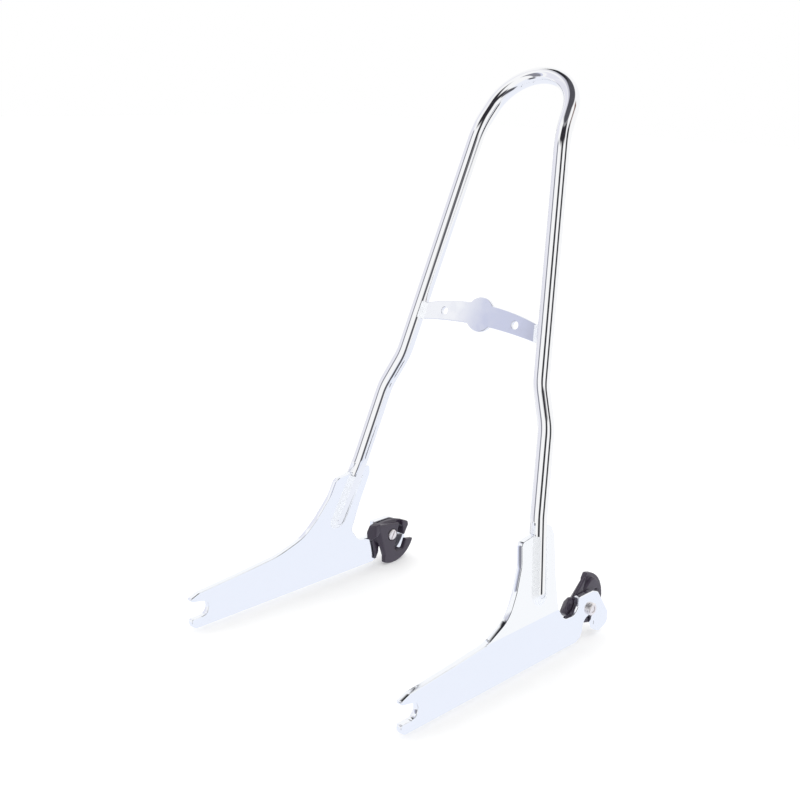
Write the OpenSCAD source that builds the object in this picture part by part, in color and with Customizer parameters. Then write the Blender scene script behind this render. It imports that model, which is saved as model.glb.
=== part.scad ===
// Detachable passenger backrest hoop: two side plates, a bent tube hoop,
// a pad strap and two turning docking latches. All sizes in millimetres.

/* [Hoop] */
// Outer diameter of the hoop tube
tube_d = 15.9; // [14:0.1:18]
// Wall of the hoop tube
tube_wall = 2.1; // [1.4:0.1:3]
// Height of the rounded foot of each leg, at its centre
foot_z = 67; // [62:0.5:76]
// Height of the lowest bend, just above the tab
tab_bend_z = 132.4; // [126:0.5:140]
// Height of the lower bend of the inward jog
jog_low_z = 210.6; // [200:0.5:216]
// Height of the upper bend of the inward jog
jog_high_z = 245.7; // [238:0.5:252]
// Height of the bend where the crown turns back
kick_z = 469.5; // [455:0.5:480]
// Height of the tube centre at the crown
crown_z = 521.2; // [512:0.5:540]
// Half width of the hoop at the lower bend of the jog
jog_low_x = 101.2; // [98:0.2:104]
// Half width of the hoop at the upper bend of the jog
jog_high_x = 85.6; // [80:0.2:90]
// Half width of the hoop where the crown turns back
kick_x = 49.8; // [46:0.2:54]
// Half width of the hoop at the corners of the crown
crown_x = 39.5; // [36:0.2:42]
// Backward lean of the legs in degrees
leg_lean = 14.6; // [10:0.1:18]
// Backward lean of the crown in degrees
crown_lean = 35.4; // [28:0.1:42]
// Centre-line radius of the small bends
jog_r = 60; // [40:1:75]
// Centre-line radius of the bend below the crown
kick_r = 78; // [50:1:90]

/* [Side plates] */
// Distance between the middle planes of the two plates
span = 269.3; // [262:0.5:290]
// Thickness of a plate
plate_t = 6; // [4:0.1:8]
// Height of the line where the tab is bent inward
bend_z = 44.6; // [44.2:0.1:45.4]
// Inward bend of the tab in degrees
tab_lean = 13.4; // [11:0.1:15]
// Radius in the middle of the sheet at that bend
bend_r = 9; // [6:0.5:9.5]
// Height of the front end of the arm
arm_h = 36; // [34:0.5:40]
// Height of the tab beside the leg
tab_top_z = 118; // [112:0.5:122]
// Height of the ear that carries the latch
ear_z = 46.5; // [45:0.5:52]
// Reach from the front tips to the docking slot
slot_y = 268.8; // [266:0.5:280]
// Width of the docking slot
slot_w = 19.5; // [17:0.1:20]
// Height of the slot's round end, at its centre
slot_z = 12.5; // [11:0.1:13]
// Width of the front notch
notch_w = 15.7; // [13:0.1:16.5]
// Reach from the front tips to the notch's round end, at its centre
notch_y = 14; // [12:0.1:18]
// Height of the front notch
notch_z = 18.3; // [17.5:0.1:19]

/* [Pad strap] */
// Height of the strap's ends
strap_z = 291; // [275:1:320]
// Thickness of the strap
strap_t = 4; // [3:0.1:5]
// Width of the strap at its ends
strap_w = 17.7; // [16:0.1:20]
// Width of the strap beside its disc
strap_mid_w = 21.2; // [20:0.1:24]
// Rise of the strap's lower edge at the middle
strap_rise = 4; // [2:0.1:6]
// Diameter of the disc in the middle
disc_d = 34; // [30:0.5:38]
// Diameter of a pad hole
hole_d = 7; // [5:0.1:8.5]
// Distance between the pad holes
hole_gap = 86.8; // [78:0.2:96]

/* [Latches] */
// Rim radius of a latch about its pivot
latch_r = 33.3; // [32:0.1:34]
// Thickness of a latch
latch_t = 9.5; // [8.5:0.1:11]
// Free gap between a latch and its plate
latch_gap = 0.5; // [0.4:0.05:0.8]
// Thickness of the latch's spring finger
finger_t = 2.2; // [1.6:0.2:3]
// Height of the pivot
pivot_z = 29; // [28:0.1:30]
// Diameter of the pivot screw's shoulder
shoulder_d = 10; // [9:0.1:11]
// Running clearance on that shoulder, all round
running_gap = 0.05; // [0.03:0.01:0.09]
// Diameter of the pivot screw's thread
thread_d = 6; // [5:0.1:6.4]
// Diameter of the pivot screw's head
head_d = 11.8; // [11.6:0.1:13]
// Diameter of the round nut on the outer face
nut_d = 12.4; // [11:0.1:14]
// Height of that nut
nut_h = 3.6; // [2.5:0.1:5]

/* [Hidden] */
$fn = 48;
plate_x = span / 2;
pivot_y = slot_y + 1;
// the hoop's own points, right-hand side
leg_y = 191.4;
function tab_x(z) = plate_x - tan(tab_lean) * (z - bend_z);
function lean_y(z) = leg_y + (z - 70) * tan(leg_lean);
foot = [tab_x(foot_z), lean_y(foot_z), foot_z];
crown_y = lean_y(kick_z) + (crown_z - kick_z) * tan(crown_lean);
path = [foot,
    [tab_x(tab_bend_z), lean_y(tab_bend_z), tab_bend_z],
    [jog_low_x, lean_y(jog_low_z), jog_low_z],
    [jog_high_x, lean_y(jog_high_z), jog_high_z],
    [kick_x, lean_y(kick_z), kick_z],
    [crown_x, crown_y, crown_z],
    [0, crown_y, crown_z]];
function unit(v) = v / norm(v);
function turn(i) = acos(unit(path[i] - path[i - 1]) * unit(path[i + 1] - path[i]));
// the crown's two corners meet in the middle, so their radius follows the width
crown_r = crown_x / tan(turn(5) / 2);
radii = [0, jog_r, jog_r, jog_r, kick_r, crown_r, 0];
function cut(i) = i == 0 || i == 6 ? 0 : radii[i] * tan(turn(i) / 2);
grip = 0.1;
lap = 1.2;
// the part stands on the rim of the right-hand latch, centred front to back
depth = crown_y + tube_d / 2;
lift = max(0, latch_r - pivot_z);
// what the latch is made of, outward from the middle of the plate
latch_in = plate_t / 2 + latch_gap;
latch_out = latch_in + latch_t;
level = latch_in + latch_t * 0.48;
sink = 1.4;
pocket = 1.2;
weld = 4.2;

// ---- helpers
// turn the axes so that X lies along ex and Z along ez
function facing(ex, ez) = let (ey = cross(ez, ex))
    [atan2(ey.z, ez.z), -asin(ex.z), atan2(ex.y, ex.x)];
function mid(a, b) = (a + b) / 2;
// a polygon whose corners [x, y, r] are rounded off
function arc_points(p, q, s) = let (
        a = [p[0], p[1]], b = [q[0], q[1]], c = [s[0], s[1]],
        u = unit(a - b), v = unit(c - b), half = acos(max(-1, min(1, u * v))) / 2,
        r = q[2], t = r / tan(half), m = b + unit(u + v) * (r / sin(half)),
        from = b + u * t - m, sweep = 180 - 2 * half,
        way = (u.x * v.y - u.y * v.x) > 0 ? -1 : 1,
        n = max(3, ceil(sweep / 9)))
    r == 0 ? [b] : [for (k = [0:n]) let (w = way * sweep * k / n)
        m + [from.x * cos(w) - from.y * sin(w), from.x * sin(w) + from.y * cos(w)]];
function rounded(c) = let (n = len(c))
    [for (i = [0:n - 1]) each arc_points(c[(i + n - 1) % n], c[i], c[(i + 1) % n])];
module place() translate([0, -depth / 2, lift]) children();
// draw in the side view, Y across and Z up, with the thickness along X from a to b
module side(a, b) translate([a, 0, 0]) rotate([90, 0, 90]) linear_extrude(height = b - a) children();

// ---- the hoop
// half of the hoop's path as a round rod of radius r. A bend is a hair
// fatter than the straights, which run a little way into it, so they fuse.
module bend(i, r, angle) {
    d = unit(path[i] - path[i - 1]);
    e = unit(path[i + 1] - path[i]);
    start = path[i] - d * cut(i);
    ex = -unit(cross(cross(d, e), d));
    translate(start - ex * radii[i]) rotate(facing(ex, cross(ex, d)))
        rotate_extrude(angle = angle, $fn = 120) translate([radii[i], 0]) circle(r = r + grip, $fn = 48);
}
module rod(r) {
    for (i = [0:4]) {
        d = unit(path[i + 1] - path[i]);
        a = path[i] + d * (cut(i) - (i == 0 ? 0 : lap));
        b = path[i + 1] - d * (cut(i + 1) - lap);
        ex = unit(cross([0, cos(leg_lean), -sin(leg_lean)], d));
        translate(a) rotate(facing(ex, d)) cylinder(r = r, h = norm(b - a));
    }
    for (i = [1:4]) bend(i, r, turn(i));
    translate(foot) sphere(r = r + grip);
}
module hoop_solid(r) {
    rod(r);
    mirror([1, 0, 0]) rod(r);
    // the crown is one arc from corner to corner
    bend(5, r, 2 * turn(5));
}
module upright_tube() color("silver") place() difference() {
    hoop_solid(tube_d / 2);
    hoop_solid(tube_d / 2 - tube_wall);
    for (s = [0, 1]) mirror([s, 0, 0]) plate();
}

// ---- the side plates
tab_back = 0.5 * (tab_top_z - 118);
module plate_outline() polygon(rounded([
    [0.6, 0, 7], [250, 0, 2], [258.5 + slot_y - 268.8, 4, 0.5], [slot_y + 9, 4, 0.5],
    [slot_y + 20, -0.6, 3], [slot_y + 33.8, 5, 5], [slot_y + 32.6, 17, 8], [slot_y + 22.5, 30.5, 14],
    [slot_y + 12.5, ear_z - 3, 7], [slot_y + 4.5, ear_z, 5], [slot_y - 19.8, ear_z, 1.2],
    [slot_y - 19.5, 38, 4], [slot_y - 25, 30, 9], [slot_y - 41.5, 31.2, 12],
    [215.6, 46, 8], [218.6, 78, 60], [224.5 + tab_back, tab_top_z - 6, 5],
    [221 + tab_back, tab_top_z + 5, 4], [196, tab_top_z + 1, 10],
    [175.5, tab_top_z - 1.5, 6], [171.5, 98, 24], [159, 76, 30], [144, 57, 40],
    [112, 45.2, 60], [60, arm_h + 4, 60], [10.5, arm_h - 0.3, 5], [-1.1, arm_h - 4.6, 1.8],
    [notch_y - 14 + 2.6, notch_z + notch_w / 2 + 2.2, 1.2], [notch_y, notch_z + notch_w / 2 + 0.2, 0.5],
    [notch_y, notch_z - notch_w / 2 - 0.2, 0.5], [2.4, notch_z - notch_w / 2 + 0.1, 1.2]]));
// the sheet seen from the front: upright below, bent inward above
module sheet_outline() {
    h = plate_t / 2;
    q = tan(tab_lean / 2) * h;
    up = 100;
    polygon(rounded([[h, -20, 0], [h, bend_z + q, bend_r + h],
        [h - tan(tab_lean) * up, bend_z + q + up, 0],
        [-h - tan(tab_lean) * up, bend_z - q + up, 0],
        [-h, bend_z - q, bend_r - h], [-h, -20, 0]]));
}
// right-hand side as seen from the front of the part, +X
module plate() translate([plate_x, 0, 0]) difference() {
    intersection() {
        side(-40, 10) plate_outline();
        union() {
            translate([0, slot_y - 34, 0]) rotate([90, 0, 0]) linear_extrude(height = slot_y - 24) sheet_outline();
            translate([-plate_t / 2, slot_y - 34, -20]) cube([plate_t, 80, 90]);
        }
    }
    // front notch
    translate([-10, notch_y, notch_z]) rotate([0, 90, 0]) cylinder(d = notch_w, h = 20);
    // docking slot with its flared mouth
    translate([-10, slot_y, slot_z]) rotate([0, 90, 0]) cylinder(d = slot_w, h = 20);
    side(-10, 10) polygon(rounded([[slot_y - slot_w / 2, slot_z, 0], [slot_y - slot_w / 2, 9, 3],
        [slot_y - 17, -5, 0], [slot_y + 17, -5, 0], [slot_y + slot_w / 2, 9, 3],
        [slot_y + slot_w / 2, slot_z, 0]]));
    // pivot hole
    translate([-10, pivot_y, pivot_z]) rotate([0, 90, 0]) cylinder(d = thread_d + 0.2, h = 20);
}
module side_plate_left() color("gainsboro") place() plate();
module side_plate_right() color("gainsboro") place() mirror([1, 0, 0]) plate();

// ---- the strap for the pad
module on_legs(x, z) translate([x, lean_y(z), z]) rotate([90 - leg_lean, 0, 0]) children();
function sag_r(w, s) = (w * w + s * s) / (2 * s);
module strap_solid() {
    end = 62.3;
    top_s = (strap_mid_w - strap_w / 2 - strap_w / 2 + strap_rise);
    r_top = sag_r(end, top_s);
    r_low = sag_r(end, strap_rise);
    intersection() {
        translate([0, top_s + strap_w / 2 - r_top, 0]) cylinder(r = r_top, h = strap_t, $fn = 360);
        difference() {
            translate([-84, -20, 0]) cube([168, 60, strap_t]);
            translate([0, strap_rise - strap_w / 2 - r_low, -1]) cylinder(r = r_low, h = strap_t + 2, $fn = 720);
        }
    }
    translate([0, mid(top_s + strap_w / 2, strap_rise - strap_w / 2), 0]) cylinder(d = disc_d, h = strap_t);
}
module pad_strap() color("lavender") place() difference() {
    on_legs(0, strap_z) translate([0, 0, -strap_t / 2]) difference() {
        strap_solid();
        for (s = [-1, 1]) translate([s * hole_gap / 2, 2.4, -1]) cylinder(d = hole_d, h = strap_t + 2);
    }
    hoop_solid(tube_d / 2);
    // nothing of the strap stands out beyond the legs
    for (s = [0, 1]) mirror([s, 0, 0]) translate(path[3]) rotate(facing(unit(cross([0, cos(leg_lean), -sin(leg_lean)], path[4] - path[3])), unit(path[4] - path[3])))
        translate([0, -15, -20]) cube([60, 30, 140]);
}

// ---- welds
// a hollow fillet between a round of radius r and a flat face at height h beside it
function fillet(r, h, leg) = let (w = sqrt(r * r - h * h), t = min(r - 1, h + leg * 0.85))
    [[w - 1.5, h], [w + leg, h], [w + leg * 0.4, h + leg * 0.32], [sqrt(r * r - t * t), t], [w - 2.5, h + 0.5]];
module leg_weld() {
    r = tube_d / 2;
    d = unit(path[1] - path[0]);
    n = [cos(tab_lean), 0, sin(tab_lean)];
    long = (tab_top_z - 3 - foot_z) / d.z;
    difference() {
        translate(foot) rotate(facing(n, d)) for (f = [0, 1]) mirror([f, 0, 0]) {
            for (g = [0, 1]) mirror([0, g, 0]) linear_extrude(height = long)
                polygon([for (p = fillet(r, plate_t / 2, weld)) [p[1], p[0]]]);
            rotate([0, 90, 0]) rotate([0, 0, -90]) rotate_extrude(angle = 180, $fn = 96) polygon(fillet(r, plate_t / 2, weld));
        }
        hoop_solid(r);
    }
}
module leg_weld_left() color("whitesmoke") place() leg_weld();
module leg_weld_right() color("whitesmoke") place() mirror([1, 0, 0]) leg_weld();
module strap_weld() {
    r = tube_d / 2;
    d = unit(path[4] - path[3]);
    n = [0, -cos(leg_lean), sin(leg_lean)];
    at = path[3] + d * ((strap_z - path[3].z) / d.z);
    difference() {
        translate(at) rotate(facing(n, d)) for (f = [0, 1]) mirror([f, 0, 0])
            translate([0, 0, -strap_w / 2 + 0.5]) linear_extrude(height = strap_w - 1)
                polygon([for (p = fillet(r, strap_t / 2, weld)) [p[1], -p[0]]]);
        hoop_solid(r);
    }
}
module strap_weld_left() color("whitesmoke") place() strap_weld();
module strap_weld_right() color("whitesmoke") place() mirror([1, 0, 0]) strap_weld();

// ---- the latches, drawn about their pivot as they hang on the right-hand plate
s = latch_r / 33.3;
module cheek_outline() polygon(rounded([
    [24.6 * s, 9.8 * s, 1.2], [16.2 * s, 13 * s, 2], [9.4 * s, 11.4 * s, 3], [-6 * s, 13.8 * s, 8],
    [-20 * s, 15.8 * s, 2.5], [-24.6 * s, 12 * s, 3], [-22.4 * s, 1.4 * s, 8], [-18.4 * s, -6.5 * s, 8],
    [-14.6 * s, -14.4 * s, 6], [-11.7 * s, -21.5 * s, 4], [-11.6 * s, -30 * s, 1], [-11 * s, -38 * s, 0],
    [42 * s, -38 * s, 0], [42 * s, -7.4 * s, 0], [19.5 * s, -5.8 * s, 0], [22.2 * s, -0.5 * s, 1.5], [25.8 * s, 5.6 * s, 1.2]]));
// the level next to the plate: hub, lever and the bridge to the upper jaw
module inner_outline() polygon(rounded([
    [21 * s, 11 * s, 3], [8.8 * s, 14.9 * s, 3], [-5.6 * s, 15.6 * s, 5], [-19 * s, 14.9 * s, 4],
    [-24 * s, 8 * s, 3], [-22.5 * s, 0.5 * s, 4], [-15.5 * s, -7.5 * s, 5], [-11 * s, -14 * s, 5],
    [-7 * s, -24.5 * s, 3], [-2 * s, -29.5 * s, 4], [12.5 * s, -27.3 * s, 4], [17.8 * s, -24 * s, 1.2],
    [16.5 * s, -18 * s, 0], [15 * s, -6.8 * s, 0], [27.6 * s, -7 * s, 0], [31 * s, 1.8 * s, 2.5], [28.2 * s, 7.8 * s, 2]]));
// the spring finger, a thin blade beside the plate
module finger_outline() polygon(rounded([
    [-24.4 * s, -2 * s, 1], [-21.2 * s, -12.5 * s, 14], [-18.4 * s, -24.6 * s, 0.8], [-16.9 * s, -26 * s, 0.5],
    [-16.4 * s, -21 * s, 2], [-14.1 * s, -13.5 * s, 5], [-10 * s, -9 * s, 1], [-12 * s, 3 * s, 1], [-22.6 * s, 4 * s, 1]]));
// the thumb piece at the end of the lever; its end and its lower edge slope back
module thumb_outline() polygon(rounded([
    [-18.6 * s, 17.2 * s, 1], [-27.9 * s, 15.4 * s, 3], [-32 * s, 8.6 * s, 3], [-31.1 * s, 1.4 * s, 4],
    [-26 * s, -3.3 * s, 2.5], [-21 * s, 5.4 * s, 2]]));
module thumb() difference() {
    side(latch_in + 0.4, latch_out - 0.4) thumb_outline();
    translate([0, 0, -50]) linear_extrude(height = 100) polygon([[latch_in - 1.5, -33.6 * s],
        [latch_out + 2, -23.6 * s], [latch_out + 2, -60], [latch_in - 1.5, -60]]);
    rotate([90, 0, 0]) linear_extrude(height = 60) polygon([[latch_in - 1.5, -6.4 * s],
        [latch_out + 2, 6.4 * s], [latch_out + 2, -60], [latch_in - 1.5, -60]]);
}
// the hooked channel that takes the docking post, through the whole thickness
module channel_outline() polygon(rounded([
    [45 * s, -10.6 * s, 0], [23.4 * s, -8.4 * s, 0.8], [18.4 * s, -20.9 * s, 3], [4.4 * s, -21.2 * s, 3.5],
    [4.8 * s, -14.7 * s, 4], [7.5 * s, -3.7 * s, 4], [9.8 * s, 7.6 * s, 2], [15.8 * s, 7.6 * s, 1.5],
    [17 * s, 4.6 * s, 2], [17.6 * s, -4.6 * s, 0.8], [26.8 * s, -5 * s, 1.5], [29 * s, 0, 0], [45 * s, 1 * s, 0]]));
module latch_solid() difference() {
    union() {
        difference() {
            intersection() {
                side(level, latch_out) cheek_outline();
                translate([level - 1, 3.2 * s, 0]) rotate([0, 90, 0]) cylinder(r = latch_r, h = latch_t, $fn = 180);
            }
            // the long edge of the cheek slopes back like the thumb piece
            rotate([17.2, 0, 0]) translate([0, 0, -18.5 * s]) linear_extrude(height = 80) polygon([[level + 0.3, -20.8 * s],
                [latch_out + 2, -20.8 * s + 1.05 * (latch_t - latch_t * 0.48 + 1.7)], [latch_out + 2, -60], [level + 0.3, -60]]);
        }
        side(latch_in, level) inner_outline();
        side(latch_in, latch_in + finger_t) finger_outline();
        thumb();
    }
    side(latch_in - 1, latch_out + 1) channel_outline();
    // on the cheek the lower jaw is lower, and the bridge to the upper jaw is set back
    side(level, latch_out + 1) polygon([[16 * s, -9 * s], [23.4 * s, -10.9 * s], [48 * s, -15.4 * s], [48 * s, -5 * s], [20 * s, -5 * s]]);
    side(level, latch_out + 1) polygon([[9.9 * s, 5 * s], [9.9 * s, 25 * s], [16 * s, 25 * s], [16 * s, 5 * s]]);
    // bore, screw-head recess and spring pocket
    rotate([0, 90, 0]) cylinder(d = shoulder_d + 2 * running_gap, h = 40);
    translate([latch_out - sink, 0, 0]) rotate([0, 90, 0]) cylinder(d = head_d + 1.6, h = 10);
    rotate([0, 90, 0]) cylinder(d = shoulder_d + 7, h = latch_in + pocket);
}
// the same latch serves both sides, so the left-hand one is turned round and swung up
module at_right() translate([-plate_x, pivot_y, pivot_z]) children();
module at_left() translate([plate_x, pivot_y, pivot_z]) rotate([0, 0, 180]) children();
module latch_right() color("dimgray") place() at_right() latch_solid();
module latch_left() color("dimgray") place() at_left() rotate([-148, 0, 0]) latch_solid();

// ---- the pivots
module latch_spring() rotate([0, 90, 0]) rotate_extrude() {
    a = plate_t / 2;
    b = latch_in + pocket - 0.05;
    i = shoulder_d / 2 + 0.15;
    o = shoulder_d / 2 + 3.1;
    polygon([[o, a], [o, a + 0.6], [i, b], [i, b - 0.6]]);
}
module latch_spring_left() color("gray") place() at_left() latch_spring();
module latch_spring_right() color("gray") place() at_right() latch_spring();
module pivot_screw() {
    top = latch_out - sink + 0.1;
    difference() {
        rotate([0, 90, 0]) rotate_extrude() polygon([
            [0, -plate_t / 2 - nut_h + 0.5], [thread_d / 2 - 0.6, -plate_t / 2 - nut_h + 0.5],
            [thread_d / 2, -plate_t / 2 - nut_h + 1.1], [thread_d / 2, plate_t / 2],
            [shoulder_d / 2, plate_t / 2], [shoulder_d / 2, top], [head_d / 2, top],
            [head_d / 2, top + 1.8], [head_d / 2 - 0.9, top + 2.6], [0, top + 2.6]]);
        translate([top + 1.3, -head_d, -0.7]) cube([5, 2 * head_d, 1.4]);
    }
}
module pivot_screw_left() color("lightgray") place() at_left() rotate([60, 0, 0]) pivot_screw();
module pivot_screw_right() color("lightgray") place() at_right() rotate([60, 0, 0]) pivot_screw();
module pivot_nut() {
    a = -plate_t / 2;
    rotate([0, 90, 0]) rotate_extrude() polygon([
        [thread_d / 2, a], [nut_d / 2, a], [nut_d / 2, a - nut_h + 1],
        [nut_d / 2 - 1, a - nut_h], [thread_d / 2, a - nut_h]]);
}
module pivot_nut_left() color("lightgray") place() at_left() pivot_nut();
module pivot_nut_right() color("lightgray") place() at_right() pivot_nut();

upright_tube();
side_plate_left();
side_plate_right();
pad_strap();
leg_weld_left();
leg_weld_right();
strap_weld_left();
strap_weld_right();
latch_left();
latch_right();
latch_spring_left();
latch_spring_right();
pivot_screw_left();
pivot_screw_right();
pivot_nut_left();
pivot_nut_right();
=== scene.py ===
"""Looks for a detachable passenger backrest hoop, laid out as an add-on."""

import math

import bpy
from mathutils import Matrix, Vector


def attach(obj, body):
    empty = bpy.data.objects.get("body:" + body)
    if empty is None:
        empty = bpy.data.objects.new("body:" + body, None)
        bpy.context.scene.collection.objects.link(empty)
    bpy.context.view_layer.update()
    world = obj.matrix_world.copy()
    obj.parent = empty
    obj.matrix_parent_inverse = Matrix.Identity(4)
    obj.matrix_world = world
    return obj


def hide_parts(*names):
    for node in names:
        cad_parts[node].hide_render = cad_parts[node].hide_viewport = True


bl_info = {
    "name": "Passenger Backrest Hoop",
    "version": (1, 0, 0),
    "blender": (4, 5, 0),
    "location": "View3D > Sidebar > Backrest",
    "description": "Chrome hoop, side plates, pad strap and docking latches with their finishes",
    "category": "Object",
}

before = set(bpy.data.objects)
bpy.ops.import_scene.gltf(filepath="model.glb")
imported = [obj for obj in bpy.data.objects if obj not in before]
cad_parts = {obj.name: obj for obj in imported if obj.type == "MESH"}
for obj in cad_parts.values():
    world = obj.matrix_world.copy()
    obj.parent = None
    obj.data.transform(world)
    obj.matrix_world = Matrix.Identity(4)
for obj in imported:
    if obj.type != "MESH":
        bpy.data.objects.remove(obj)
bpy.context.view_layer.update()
MM = 0.001
SIDES = ("left", "right")

# sizes of the bent tube, the same as the source's, in millimetres and degrees
TUBE_D = 15.9
FOOT_Z = 67.0
TAB_BEND_Z = 132.4
JOG_LOW_Z = 210.6
JOG_HIGH_Z = 245.7
KICK_Z = 469.5
CROWN_Z = 521.2
JOG_LOW_X = 101.2
JOG_HIGH_X = 85.6
KICK_X = 49.8
CROWN_X = 39.5
JOG_R = 60.0
KICK_R = 78.0
LEG_LEAN = 14.6
CROWN_LEAN = 35.4

# where the tube stands, from the source too: its legs, the plates' tabs and the latches
LEG_Y = 191.4
LEG_Y_AT_Z = 70.0
SPAN = 269.3
BEND_Z = 44.6
TAB_LEAN = 13.4
LATCH_R = 33.3
PIVOT_Z = 29.0

# how closely the meshes are worked
JOIN_WITHIN = 0.004 * MM
FLAT_WITHIN = math.radians(0.6)
SHORTEST_RUN = 0.02 * MM
SHARP_ANGLE = 32
WELD_ANGLE = 60
TUBE_ANGLE = 40
MOULDED_ANGLE = 50
FOOT_RINGS = 8
FOOT_TIP = 0.02
RIM_REACH = 1.02
RIM_DEPTH = 0.01 * MM

# the camera as fitted to the photograph, its place in the source's millimetres
PHOTO_PIXELS = 800
FOCAL_PIXELS = 1242.0
SENSOR_WIDTH = 36
VIEW_DEPTH = 20
CAMERA_AT = (731.6, -675.0, 531.1)
CAMERA_RIGHT = (0.73657, 0.67543, 0.03545)
CAMERA_TOP = (-0.20401, 0.17190, 0.96376)

# the screens that the chrome shows, paler blue below a height that is in degrees
WHITE = (1.0, 1.0, 1.0, 1)
LOW_SCREEN = (0.90, 0.925, 1.0, 1)
SCREEN_FOOT = -17
SCREEN_FOOT_SOFT = 3

# dark gaps between the screens, in degrees: compass centre and half width,
# height centre and half width, softness of the sides, then the colour
GAPS = (
    (-144, 9, 12, 24, 4, (0.84, 0.84, 0.91, 1)),
    (-167, 13, 20, 28, 6, (0.82, 0.82, 0.90, 1)),
    (-126.5, 2.4, 11, 20, 1.2, (0.66, 0.68, 0.82, 1)),
    (-117, 8, 8, 22, 3, (0.26, 0.26, 0.30, 1)),
    (-105, 9, -26, 9, 6, (0.11, 0.11, 0.13, 1)),
    (-47, 13, 26, 22, 6, (0.035, 0.035, 0.04, 1)),
    (-38, 13, -18, 24, 7, (0.10, 0.10, 0.115, 1)),
    (12, 12, 14, 24, 7, (0.03, 0.03, 0.035, 1)),
    (30, 9, 38, 8, 8, (0.16, 0.07, 0.045, 1)),
    (-60, 42, 46, 12, 8, (0.03, 0.028, 0.035, 1)),
    (0, 200, 90, 32, 6, (0.085, 0.085, 0.10, 1)),
    (-152, 18, 60, 8, 8, (0.60, 0.60, 0.68, 1)),
    (160, 24, 65, 11, 5, (0.02, 0.02, 0.025, 1)),
)


# sizes and colours that a user may change
def colour_setting(name, description, default):
    return bpy.props.FloatVectorProperty(
        name=name, description=description, default=default,
        size=3, min=0, max=1, subtype="COLOR")


class HoopSettings(bpy.types.PropertyGroup):
    tube_diameter: bpy.props.FloatProperty(
        name="Tube diameter", description="Outside of the bent tube",
        default=TUBE_D * MM, min=0.01, max=0.03, subtype="DISTANCE")
    sides: bpy.props.IntProperty(
        name="Sides", description="Faces around the tube",
        default=40, min=12, max=96)
    bend_step: bpy.props.FloatProperty(
        name="Bend step", description="Degrees that one ring of a bend turns",
        default=2.0, min=0.5, max=10.0)
    chrome_tint: colour_setting(
        "Chrome tint", "Colour of the plating on the tube", (0.93, 0.935, 0.95))
    polish: bpy.props.FloatProperty(
        name="Roughness", description="Roughness of the polished plating",
        default=0.035, min=0, max=1)


class SheetSettings(bpy.types.PropertyGroup):
    edge: bpy.props.FloatProperty(
        name="Edge rounding", description="Rounding of the cut edges",
        default=0.9 * MM, min=0, max=0.002, subtype="DISTANCE")
    plate_tint: colour_setting(
        "Plate tint", "Colour of the plating on the side plates", (0.93, 0.95, 0.985))
    strap_tint: colour_setting(
        "Strap tint", "Colour of the plating on the pad strap", (0.88, 0.895, 0.94))
    polish: bpy.props.FloatProperty(
        name="Roughness", description="Roughness of the plating on the plates and the strap",
        default=0.05, min=0, max=1)


class LatchSettings(bpy.types.PropertyGroup):
    grid: bpy.props.FloatProperty(
        name="Grid", description="Size of the faces that the moulding is rebuilt with",
        default=0.5 * MM, min=0.0003, max=0.002, subtype="DISTANCE")
    softness: bpy.props.IntProperty(
        name="Softness", description="Passes that round the moulded edges",
        default=12, min=0, max=40)
    screw_gap: bpy.props.FloatProperty(
        name="Screw gap", description="Gap between the latch and its screw",
        default=0.1 * MM, min=0, max=0.001, subtype="DISTANCE")
    screw_edge: bpy.props.FloatProperty(
        name="Screw edge", description="Rounding of the screw's edges",
        default=0.25 * MM, min=0, max=0.001, subtype="DISTANCE")
    nut_edge: bpy.props.FloatProperty(
        name="Nut edge", description="Rounding of the nut's edges",
        default=0.3 * MM, min=0, max=0.001, subtype="DISTANCE")
    plastic: colour_setting(
        "Plastic", "Colour of the moulded latches", (0.036, 0.026, 0.046))
    screw: colour_setting(
        "Screw", "Colour of the plated screws", (0.90, 0.865, 0.87))
    spring: colour_setting(
        "Spring", "Colour of the spring washers", (0.45, 0.45, 0.47))


class StageSettings(bpy.types.PropertyGroup):
    background: colour_setting(
        "Background", "What the camera sees behind the object", (1.0, 1.0, 1.0))
    floor_size: bpy.props.FloatProperty(
        name="Floor size", description="Length of the floor's sides",
        default=16.0, min=2, max=40, subtype="DISTANCE")
    floor_glow: bpy.props.FloatProperty(
        name="Floor glow", description="Light of the floor itself, which keeps its shadow faint",
        default=0.12, min=0, max=1)
    light: bpy.props.FloatProperty(
        name="Light", description="Level of the even studio light",
        default=1.1, min=0, max=4)


# small helpers
def only(obj):
    """Leave one object selected and active."""
    if bpy.context.mode != "OBJECT":
        bpy.ops.object.mode_set(mode="OBJECT")
    bpy.ops.object.select_all(action="DESELECT")
    obj.select_set(True)
    bpy.context.view_layer.objects.active = obj


def pick(obj, test):
    """Select the vertices whose place passes a test, and stay in edit mode."""
    bpy.ops.object.mode_set(mode="EDIT")
    bpy.ops.mesh.select_mode(type="VERT")
    bpy.ops.mesh.select_all(action="DESELECT")
    bpy.ops.object.mode_set(mode="OBJECT")
    for vertex in obj.data.vertices:
        vertex.select = test(vertex.co)
    bpy.ops.object.mode_set(mode="EDIT")


def apply_modifier(obj, kind, **values):
    """Add a modifier with these values and apply it at once."""
    only(obj)
    modifier = obj.modifiers.new(kind.title(), kind)
    for key, value in values.items():
        setattr(modifier, key, value)
    bpy.ops.object.modifier_apply(modifier=modifier.name)


def smooth_below(obj, degrees):
    """Shade an object smooth, with sharp edges where its faces meet at a wider angle."""
    only(obj)
    bpy.ops.object.shade_smooth_by_angle(angle=math.radians(degrees))


def set_material(obj, material):
    obj.data.materials.clear()
    obj.data.materials.append(material)


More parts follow.
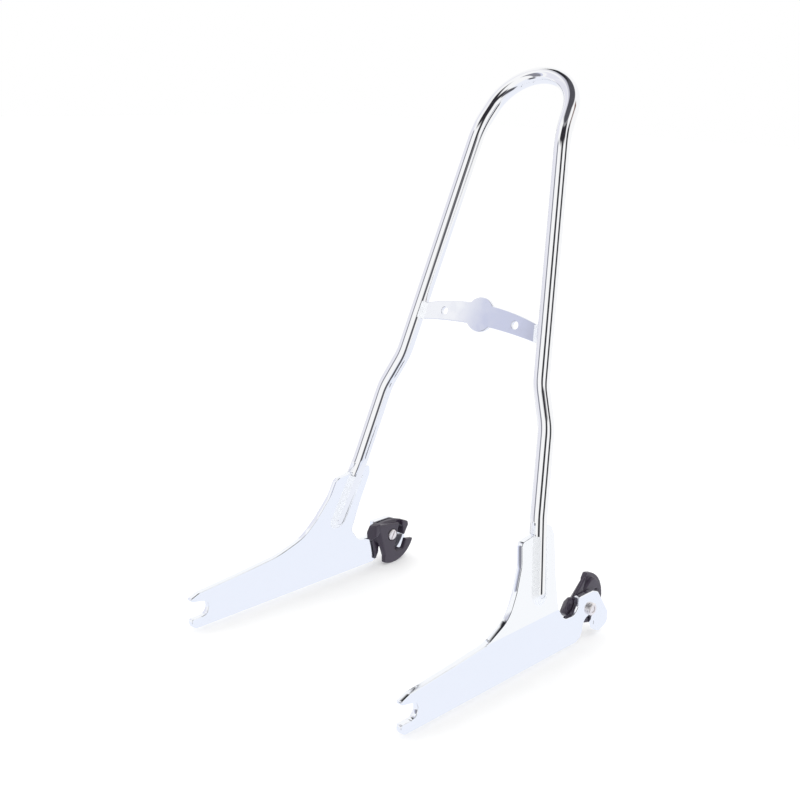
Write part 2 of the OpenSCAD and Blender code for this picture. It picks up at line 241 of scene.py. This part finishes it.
def joined_copy(node):
    """A copy of a solid with its loose triangles joined, selected all over in edit mode."""
    only(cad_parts[node])
    bpy.ops.object.duplicate()
    obj = bpy.context.view_layer.objects.active
    obj.data = obj.data.copy()
    world = obj.matrix_world.copy()
    obj.parent = None
    obj.matrix_world = world
    only(obj)
    bpy.ops.object.transform_apply(location=True, rotation=True, scale=True)
    if obj.data.has_custom_normals:
        bpy.ops.mesh.customdata_custom_splitnormals_clear()
    bpy.ops.object.mode_set(mode="EDIT")
    bpy.ops.mesh.select_all(action="SELECT")
    bpy.ops.mesh.remove_doubles(threshold=JOIN_WITHIN)
    return obj


def dressed_copy(node, name, edge, material, angle=SHARP_ANGLE):
    """A copy of a solid with whole flat faces and, where edge isn't 0, rounded sharp edges."""
    obj = joined_copy(node)
    obj.name = name
    obj.data.name = name
    bpy.ops.mesh.dissolve_limited(angle_limit=FLAT_WITHIN, delimit={"NORMAL"})
    bpy.ops.mesh.normals_make_consistent(inside=False)
    bpy.ops.object.mode_set(mode="OBJECT")
    if edge > 0:
        apply_modifier(
            obj, "BEVEL", width=edge, segments=2, limit_method="ANGLE",
            angle_limit=math.radians(angle), use_clamp_overlap=False,
            harden_normals=False, miter_outer="MITER_SHARP")
    smooth_below(obj, angle)
    if edge > 0:
        apply_modifier(obj, "WEIGHTED_NORMAL", mode="FACE_AREA", weight=100, keep_sharp=True)
    set_material(obj, material)
    return obj


def soften_moulding(obj, grid, passes):
    """Rebuild a piece with even faces and round its edges as a mould does."""
    apply_modifier(obj, "REMESH", mode="VOXEL", voxel_size=grid)
    apply_modifier(obj, "SMOOTH", factor=0.5, iterations=passes)
    apply_modifier(obj, "DECIMATE", ratio=0.3)
    smooth_below(obj, MOULDED_ANGLE)


def clear_of(obj, node, gap):
    """Cut a running gap round another solid out of a piece."""
    cutter = joined_copy(node)
    bpy.ops.transform.shrink_fatten(value=gap)
    bpy.ops.object.mode_set(mode="OBJECT")
    apply_modifier(obj, "BOOLEAN", operation="DIFFERENCE", solver="EXACT", object=cutter)
    only(cutter)
    bpy.ops.object.delete()
    only(obj)


# finishes
def new_material(name, colour, metallic=0.0):
    """A material with its shader's colour and metal set, its nodes and that shader."""
    material = bpy.data.materials.new(name)
    material.use_nodes = True
    nt = material.node_tree
    shader = nt.nodes["Principled BSDF"]
    shader.inputs["Base Color"].default_value = (*colour, 1)
    shader.inputs["Metallic"].default_value = metallic
    return material, nt, shader


def add_grain(nt, shader, scale, detail, strength, depth, least, most):
    """A fine bump, and a roughness between least and most that follows the same noise."""
    coords = nt.nodes.new("ShaderNodeTexCoord")
    noise = nt.nodes.new("ShaderNodeTexNoise")
    noise.inputs["Scale"].default_value = scale
    noise.inputs["Detail"].default_value = detail
    nt.links.new(coords.outputs["Object"], noise.inputs["Vector"])
    bump = nt.nodes.new("ShaderNodeBump")
    bump.inputs["Strength"].default_value = strength
    bump.inputs["Distance"].default_value = depth
    nt.links.new(noise.outputs["Fac"], bump.inputs["Height"])
    nt.links.new(bump.outputs["Normal"], shader.inputs["Normal"])
    clouds = nt.nodes.new("ShaderNodeMapRange")
    clouds.inputs["From Min"].default_value = 0.35
    clouds.inputs["From Max"].default_value = 0.65
    clouds.inputs["To Min"].default_value = least
    clouds.inputs["To Max"].default_value = most
    nt.links.new(noise.outputs["Fac"], clouds.inputs["Value"])
    nt.links.new(clouds.outputs["Result"], shader.inputs["Roughness"])


def chrome(name, tint, roughness):
    """Bright plating: a clean mirror with a faint ripple and a few duller clouds."""
    material, nt, shader = new_material(name, tint, metallic=1.0)
    add_grain(
        nt, shader, scale=120, detail=1.5, strength=0.04, depth=0.02 * MM,
        least=roughness * 0.6, most=roughness * 1.6)
    return material


def moulded_plastic(name, colour):
    """Satin black moulding with a fine grain."""
    material, nt, shader = new_material(name, colour)
    shader.inputs["Specular IOR Level"].default_value = 0.6
    add_grain(
        nt, shader, scale=1400, detail=3.0, strength=0.25, depth=0.05 * MM,
        least=0.28, most=0.40)
    return material


def weld_plating(name, tint):
    """Bright weld bead: its uneven plating scatters most of the light."""
    material, nt, shader = new_material(name, tint, metallic=0.45)
    add_grain(
        nt, shader, scale=300, detail=2.0, strength=0.12, depth=0.05 * MM,
        least=0.24, most=0.4)
    return material


def plated_steel(name, colour, roughness):
    """Duller plating of the small hardware."""
    material, nt, shader = new_material(name, colour, metallic=1.0)
    add_grain(
        nt, shader, scale=900, detail=2.0, strength=0.15, depth=0.03 * MM,
        least=roughness * 0.8, most=roughness * 1.3)
    return material


FINISHES = {}


def finish(name):
    """Each finish is made once, when it is first asked for."""
    if name not in FINISHES:
        scene = bpy.context.scene
        hoop = scene.hoop_settings
        sheet = scene.sheet_settings
        latch = scene.latch_settings
        make = {
            "hoop chrome": lambda: chrome(name, hoop.chrome_tint, hoop.polish),
            "plate chrome": lambda: chrome(name, sheet.plate_tint, sheet.polish),
            "strap chrome": lambda: chrome(name, sheet.strap_tint, sheet.polish),
            "weld chrome": lambda: weld_plating(name, sheet.plate_tint),
            "latch plastic": lambda: moulded_plastic(name, latch.plastic),
            "screw steel": lambda: plated_steel(name, latch.screw, 0.36),
            "spring steel": lambda: plated_steel(name, latch.spring, 0.35),
        }
        FINISHES[name] = make[name]()
    return FINISHES[name]


# the hoop's route
def lean_y(z):
    """How far back a leg's middle line is at a height."""
    return LEG_Y + (z - LEG_Y_AT_Z) * math.tan(math.radians(LEG_LEAN))


def tab_x(z):
    """How far out a plate's tab, and the leg over it, is at a height."""
    return SPAN / 2 - math.tan(math.radians(TAB_LEAN)) * (z - BEND_Z)


def crown_y():
    """How far back the middle line is at the top of the hoop."""
    return lean_y(KICK_Z) + (CROWN_Z - KICK_Z) * math.tan(math.radians(CROWN_LEAN))


def placed(point):
    """A point of the source, in millimetres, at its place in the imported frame, in metres."""
    shift = Vector((0, -(crown_y() + TUBE_D / 2) / 2, LATCH_R - PIVOT_Z))
    return (Vector(point) + shift) * MM


def hoop_route():
    """Corner points and bend radii in metres, from the right foot to the left one."""
    kick = (KICK_X, lean_y(KICK_Z), KICK_Z)
    crown = (CROWN_X, crown_y(), CROWN_Z)
    corners = (
        (tab_x(FOOT_Z), lean_y(FOOT_Z), FOOT_Z),
        (tab_x(TAB_BEND_Z), lean_y(TAB_BEND_Z), TAB_BEND_Z),
        (JOG_LOW_X, lean_y(JOG_LOW_Z), JOG_LOW_Z),
        (JOG_HIGH_X, lean_y(JOG_HIGH_Z), JOG_HIGH_Z),
        kick,
        crown,
    )
    # the crown's two bends are as wide as they can be, so they meet in the middle
    turn = (Vector(crown) - Vector(kick)).angle(Vector((-CROWN_X, 0, 0)))
    crown_r = CROWN_X / math.tan(turn / 2)
    radii = [0, JOG_R, JOG_R, JOG_R, KICK_R, crown_r]
    right = [placed(corner) for corner in corners]
    left = [Vector((-p.x, p.y, p.z)) for p in reversed(right)]
    return right + left, [r * MM for r in radii + radii[::-1]]


# the hoop
def start_ring(sides, radius, at, along):
    """A round edge ring, square to the way ahead and selected in edit mode."""
    turn = Vector((0, 0, 1)).rotation_difference(along).to_euler()
    bpy.ops.mesh.primitive_circle_add(vertices=sides, radius=radius, location=at, rotation=turn)
    ring = bpy.context.view_layer.objects.active
    only(ring)
    bpy.ops.object.transform_apply(location=True, rotation=True, scale=True)
    bpy.ops.object.mode_set(mode="EDIT")
    bpy.ops.mesh.select_all(action="SELECT")
    return ring


def run_on(vector):
    """Draw the selected ring out straight."""
    bpy.ops.mesh.extrude_region_move(TRANSFORM_OT_translate={"value": vector})


def bend_on(centre, axis, angle, step):
    """Turn the selected ring round a bend, in rings about step degrees apart."""
    steps = max(3, math.ceil(abs(angle) / math.radians(step)))
    bpy.ops.mesh.spin(steps=steps, dupli=False, angle=-angle, center=centre, axis=axis)


def bent_tube(route, radii, cfg):
    """A ring drawn along the route, straight to each corner and round its bend."""
    way_out = (route[1] - route[0]).normalized()
    tube = start_ring(cfg.sides, cfg.tube_diameter / 2, route[0], way_out)
    here = route[0]
    for i in range(1, len(route) - 1):
        ahead = (route[i] - route[i - 1]).normalized()
        beyond = (route[i + 1] - route[i]).normalized()
        angle = ahead.angle(beyond)
        cut = radii[i] * math.tan(angle / 2)
        stop = route[i] - ahead * cut
        if (stop - here).length > SHORTEST_RUN:
            run_on(stop - here)
        axis = ahead.cross(beyond).normalized()
        bend_on(stop + axis.cross(ahead) * radii[i], axis, angle, cfg.bend_step)
        here = route[i] + beyond * cut
    run_on(route[-1] - here)
    return tube


def round_foot(tube, foot, neck, radius):
    """Close an end of the tube with rings that shrink as on a ball."""
    out = (foot - neck).normalized()

    def on_rim(place):
        away = place - foot
        return away.length < radius * RIM_REACH and abs(away.dot(out)) < RIM_DEPTH

    pick(tube, on_rim)
    for ring in range(FOOT_RINGS):
        low = math.pi / 2 * ring / FOOT_RINGS
        high = math.pi / 2 * (ring + 1) / FOOT_RINGS
        run_on(out * radius * (math.sin(high) - math.sin(low)))
        share = max(math.cos(high), FOOT_TIP) / math.cos(low)
        centre = foot + out * radius * math.sin(high)
        bpy.ops.transform.resize(value=(share, share, share), center_override=centre)
    bpy.ops.mesh.edge_face_add()


class BACKREST_OT_hoop(bpy.types.Operator):
    """Bend the chrome tube hoop and slot its feet over the plates"""

    bl_idname = "backrest.hoop"
    bl_label = "Hoop"

    def execute(self, context):
        cfg = context.scene.hoop_settings
        route, radii = hoop_route()
        tube = bent_tube(route, radii, cfg)
        tube.name = "hoop_tube"
        tube.data.name = "hoop_tube"
        for foot, neck in ((route[0], route[1]), (route[-1], route[-2])):
            round_foot(tube, foot, neck, cfg.tube_diameter / 2)
        bpy.ops.mesh.select_all(action="SELECT")
        bpy.ops.mesh.normals_make_consistent(inside=False)
        bpy.ops.object.mode_set(mode="OBJECT")
        # the slots over the plates' tabs
        for side in SIDES:
            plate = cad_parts["side_plate_" + side]
            apply_modifier(tube, "BOOLEAN", operation="DIFFERENCE", solver="EXACT", object=plate)
        set_material(tube, finish("hoop chrome"))
        smooth_below(tube, TUBE_ANGLE)
        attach(tube, "frame")
        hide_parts("upright_tube")
        return {"FINISHED"}


class BACKREST_OT_side_plates(bpy.types.Operator):
    """Round the edges of the two side plates and plate them"""

    bl_idname = "backrest.side_plates"
    bl_label = "Side plates"

    def execute(self, context):
        cfg = context.scene.sheet_settings
        for side in SIDES:
            node = "side_plate_" + side
            plate = dressed_copy(node, "plate_" + side, cfg.edge, finish("plate chrome"))
            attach(plate, "frame")
            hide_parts(node)
        return {"FINISHED"}


class BACKREST_OT_strap(bpy.types.Operator):
    """Round the edges of the pad strap and plate it"""

    bl_idname = "backrest.strap"
    bl_label = "Pad strap"

    def execute(self, context):
        cfg = context.scene.sheet_settings
        strap = dressed_copy("pad_strap", "strap_with_disc", cfg.edge, finish("strap chrome"))
        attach(strap, "frame")
        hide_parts("pad_strap")
        return {"FINISHED"}


class BACKREST_OT_welds(bpy.types.Operator):
    """Smooth and plate the welds of the legs and of the strap"""

    bl_idname = "backrest.welds"
    bl_label = "Welds"

    def execute(self, context):
        plating = finish("weld chrome")
        for side in SIDES:
            for kind, slot in (("leg_weld_", "plate_chrome"), ("strap_weld_", "strap_chrome")):
                bead = dressed_copy(kind + side, kind + "bead_" + side, 0, plating, WELD_ANGLE)
                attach(bead, "frame")
                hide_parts(kind + side)
        return {"FINISHED"}


class BACKREST_OT_latches(bpy.types.Operator):
    """Round the moulded latches and give them their plastic"""

    bl_idname = "backrest.latches"
    bl_label = "Latches"

    def execute(self, context):
        cfg = context.scene.latch_settings
        for side in SIDES:
            node = "latch_" + side
            latch = dressed_copy(node, "moulded_latch_" + side, 0, finish("latch plastic"))
            soften_moulding(latch, cfg.grid, cfg.softness)
            clear_of(latch, "pivot_screw_" + side, cfg.screw_gap)
            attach(latch, node)
            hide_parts(node)
        return {"FINISHED"}


class BACKREST_OT_pivots(bpy.types.Operator):
    """Finish the pivot screws, their nuts and the spring washers"""

    bl_idname = "backrest.pivots"
    bl_label = "Pivots"

    def execute(self, context):
        cfg = context.scene.latch_settings
        for side in SIDES:
            for kind, edge in (("pivot_screw_", cfg.screw_edge), ("pivot_nut_", cfg.nut_edge)):
                piece = dressed_copy(kind + side, kind + "head_" + side, edge, finish("screw steel"))
                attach(piece, "frame")
                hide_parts(kind + side)
            for material_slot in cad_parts["latch_spring_" + side].material_slots:
                material_slot.material = finish("spring steel")
        return {"FINISHED"}


# the studio
def direction_maths(nt):
    """A maker of maths nodes, and a ray's compass angle and height, both in degrees."""
    coords = nt.nodes.new("ShaderNodeTexCoord")
    split = nt.nodes.new("ShaderNodeSeparateXYZ")
    nt.links.new(coords.outputs["Generated"], split.inputs["Vector"])

    def maths(kind, *values):
        node = nt.nodes.new("ShaderNodeMath")
        node.operation = kind
        for i, value in enumerate(values):
            if isinstance(value, (int, float)):
                node.inputs[i].default_value = value
            else:
                nt.links.new(value, node.inputs[i])
        return node.outputs[0]

    degrees = 180 / math.pi
    compass = maths("MULTIPLY", maths("ARCTAN2", split.outputs["Y"], split.outputs["X"]), degrees)
    height = maths("MULTIPLY", maths("ARCSINE", split.outputs["Z"]), degrees)
    return maths, compass, height


def band(maths, value, centre, half, soft):
    """1 inside a band of angles, 0 outside, with soft sides."""
    away = maths("ABSOLUTE", maths("SUBTRACT", value, centre))
    inside = maths("DIVIDE", maths("SUBTRACT", half + soft / 2, away), soft)
    return maths("MINIMUM", maths("MAXIMUM", inside, 0.0), 1.0)


def mix_in(nt, factor, base, colour):
    """A colour laid over a base, which is a colour or another mix."""
    mix = nt.nodes.new("ShaderNodeMix")
    mix.data_type = "RGBA"
    nt.links.new(factor, mix.inputs["Factor"])
    if isinstance(base, tuple):
        mix.inputs["A"].default_value = base
    else:
        nt.links.new(base, mix.inputs["A"])
    mix.inputs["B"].default_value = colour
    return mix.outputs["Result"]


def mirrored_studio(nt):
    """What the chrome shows: the screens, with the dark gaps between them."""
    maths, compass, height = direction_maths(nt)
    straight_up = 90
    above_foot = band(maths, height, straight_up, straight_up - SCREEN_FOOT, SCREEN_FOOT_SOFT)
    seen = mix_in(nt, above_foot, LOW_SCREEN, WHITE)
    for turn, half_turn, lift, half_lift, soft, colour in GAPS:
        across = band(maths, compass, turn, half_turn, soft)
        upward = band(maths, height, lift, half_lift, soft)
        seen = mix_in(nt, maths("MULTIPLY", across, upward), seen, colour)
    return seen


def switch(nt, test, otherwise, where_true):
    """One shader for the rays that pass a test, and another for the rest."""
    mix = nt.nodes.new("ShaderNodeMixShader")
    nt.links.new(test, mix.inputs["Fac"])
    nt.links.new(otherwise.outputs[0], mix.inputs[1])
    nt.links.new(where_true.outputs[0], mix.inputs[2])
    return mix


def light_studio(scene, cfg):
    """The background for the camera, the screens for reflections, and an even light for the rest."""
    world = bpy.data.worlds.new("white studio")
    scene.world = world
    world.use_nodes = True
    nt = world.node_tree
    nt.nodes.clear()
    path = nt.nodes.new("ShaderNodeLightPath")
    even = nt.nodes.new("ShaderNodeBackground")
    even.inputs["Color"].default_value = WHITE
    even.inputs["Strength"].default_value = cfg.light
    mirrored = nt.nodes.new("ShaderNodeBackground")
    nt.links.new(mirrored_studio(nt), mirrored.inputs["Color"])
    backdrop = nt.nodes.new("ShaderNodeBackground")
    backdrop.inputs["Color"].default_value = (*cfg.background, 1)
    lit = switch(nt, path.outputs["Is Glossy Ray"], even, mirrored)
    whole = switch(nt, path.outputs["Is Camera Ray"], lit, backdrop)
    out = nt.nodes.new("ShaderNodeOutputWorld")
    nt.links.new(whole.outputs[0], out.inputs["Surface"])


def lay_floor(cfg):
    """A plain pale floor, which keeps the shadow and stays out of the chrome."""
    bpy.ops.mesh.primitive_plane_add(size=cfg.floor_size, location=(0, 0, 0))
    floor = bpy.context.view_layer.objects.active
    floor.name = "studio_floor"
    floor.data.name = "studio_floor"
    material, _, shader = new_material("studio floor", (0.98, 0.98, 0.98))
    shader.inputs["Roughness"].default_value = 1.0
    shader.inputs["Specular IOR Level"].default_value = 0.0
    shader.inputs["Emission Color"].default_value = WHITE
    shader.inputs["Emission Strength"].default_value = cfg.floor_glow
    floor.visible_glossy = False
    set_material(floor, material)


def place_camera(scene):
    """The camera, with its axes and place as fitted to the photograph."""
    lens = bpy.data.cameras.new("camera")
    lens.sensor_fit = "HORIZONTAL"
    lens.sensor_width = SENSOR_WIDTH
    lens.lens = FOCAL_PIXELS / PHOTO_PIXELS * SENSOR_WIDTH
    lens.clip_end = VIEW_DEPTH
    camera = bpy.data.objects.new("camera", lens)
    scene.collection.objects.link(camera)
    right = Vector(CAMERA_RIGHT)
    top = Vector(CAMERA_TOP)
    axes = Matrix((right, top, right.cross(top))).transposed()
    camera.matrix_world = Matrix.Translation(placed(CAMERA_AT)) @ axes.to_4x4()
    scene.camera = camera


class BACKREST_OT_stage(bpy.types.Operator):
    """Set up the white studio, its light and the camera"""

    bl_idname = "backrest.stage"
    bl_label = "Studio"

    def execute(self, context):
        cfg = context.scene.stage_settings
        light_studio(context.scene, cfg)
        lay_floor(cfg)
        place_camera(context.scene)
        context.scene.view_settings.view_transform = "Standard"
        return {"FINISHED"}


SETTINGS = (
    ("hoop_settings", HoopSettings, "Hoop"),
    ("sheet_settings", SheetSettings, "Plates and strap"),
    ("latch_settings", LatchSettings, "Latches"),
    ("stage_settings", StageSettings, "Studio"),
)
OPERATORS = (
    BACKREST_OT_stage,
    BACKREST_OT_hoop,
    BACKREST_OT_side_plates,
    BACKREST_OT_strap,
    BACKREST_OT_welds,
    BACKREST_OT_latches,
    BACKREST_OT_pivots,
)


class BACKREST_PT_panel(bpy.types.Panel):
    """The settings, and a button for each operator"""

    bl_idname = "BACKREST_PT_panel"
    bl_label = "Backrest hoop"
    bl_space_type = "VIEW_3D"
    bl_region_type = "UI"
    bl_category = "Backrest"

    def draw(self, context):
        for name, group, title in SETTINGS:
            box = self.layout.box()
            box.label(text=title)
            for key in group.__annotations__:
                box.prop(getattr(context.scene, name), key)
        column = self.layout.column(align=True)
        for operator in OPERATORS:
            column.operator(operator.bl_idname)


def register():
    for name, group, _ in SETTINGS:
        bpy.utils.register_class(group)
        setattr(bpy.types.Scene, name, bpy.props.PointerProperty(type=group))
    for operator in OPERATORS:
        bpy.utils.register_class(operator)
    bpy.utils.register_class(BACKREST_PT_panel)


def unregister():
    bpy.utils.unregister_class(BACKREST_PT_panel)
    for operator in reversed(OPERATORS):
        bpy.utils.unregister_class(operator)
    for name, group, _ in reversed(SETTINGS):
        delattr(bpy.types.Scene, name)
        bpy.utils.unregister_class(group)


def main():
    register()
    bpy.ops.backrest.stage()
    bpy.ops.backrest.hoop()
    bpy.ops.backrest.side_plates()
    bpy.ops.backrest.strap()
    bpy.ops.backrest.welds()
    bpy.ops.backrest.latches()
    bpy.ops.backrest.pivots()


if __name__ == "__main__":
    main()
